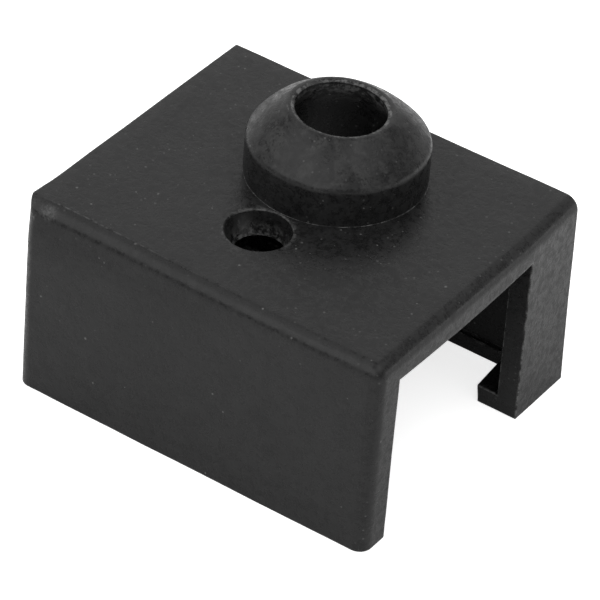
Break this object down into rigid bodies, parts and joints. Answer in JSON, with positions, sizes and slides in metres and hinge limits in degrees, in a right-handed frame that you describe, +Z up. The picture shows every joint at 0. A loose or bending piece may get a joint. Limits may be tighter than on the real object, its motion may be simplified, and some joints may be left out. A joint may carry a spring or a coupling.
{
  "type": "silicone heater block sock",
  "caption": "One-piece moulded silicone sock for a small hotend heater block: open-bottomed box with a nozzle dome, screw-access hole, wire outlet and retaining lips.",
  "frame": {"origin": "centre of the body's footprint, on the plane of the open rim", "axes": "+Z up from the open rim towards the nozzle dome, +X along the front face towards the wire outlet, +Y from the front face to the back face"},
  "size_m": [0.023, 0.0196, 0.0165],
  "materials": {
    "silicone": "matt black moulded silicone, lightly dusty"
  },
  "bodies": {
    "root": {"silicone_sock": "silicone"}
  },
  "joints": []
}
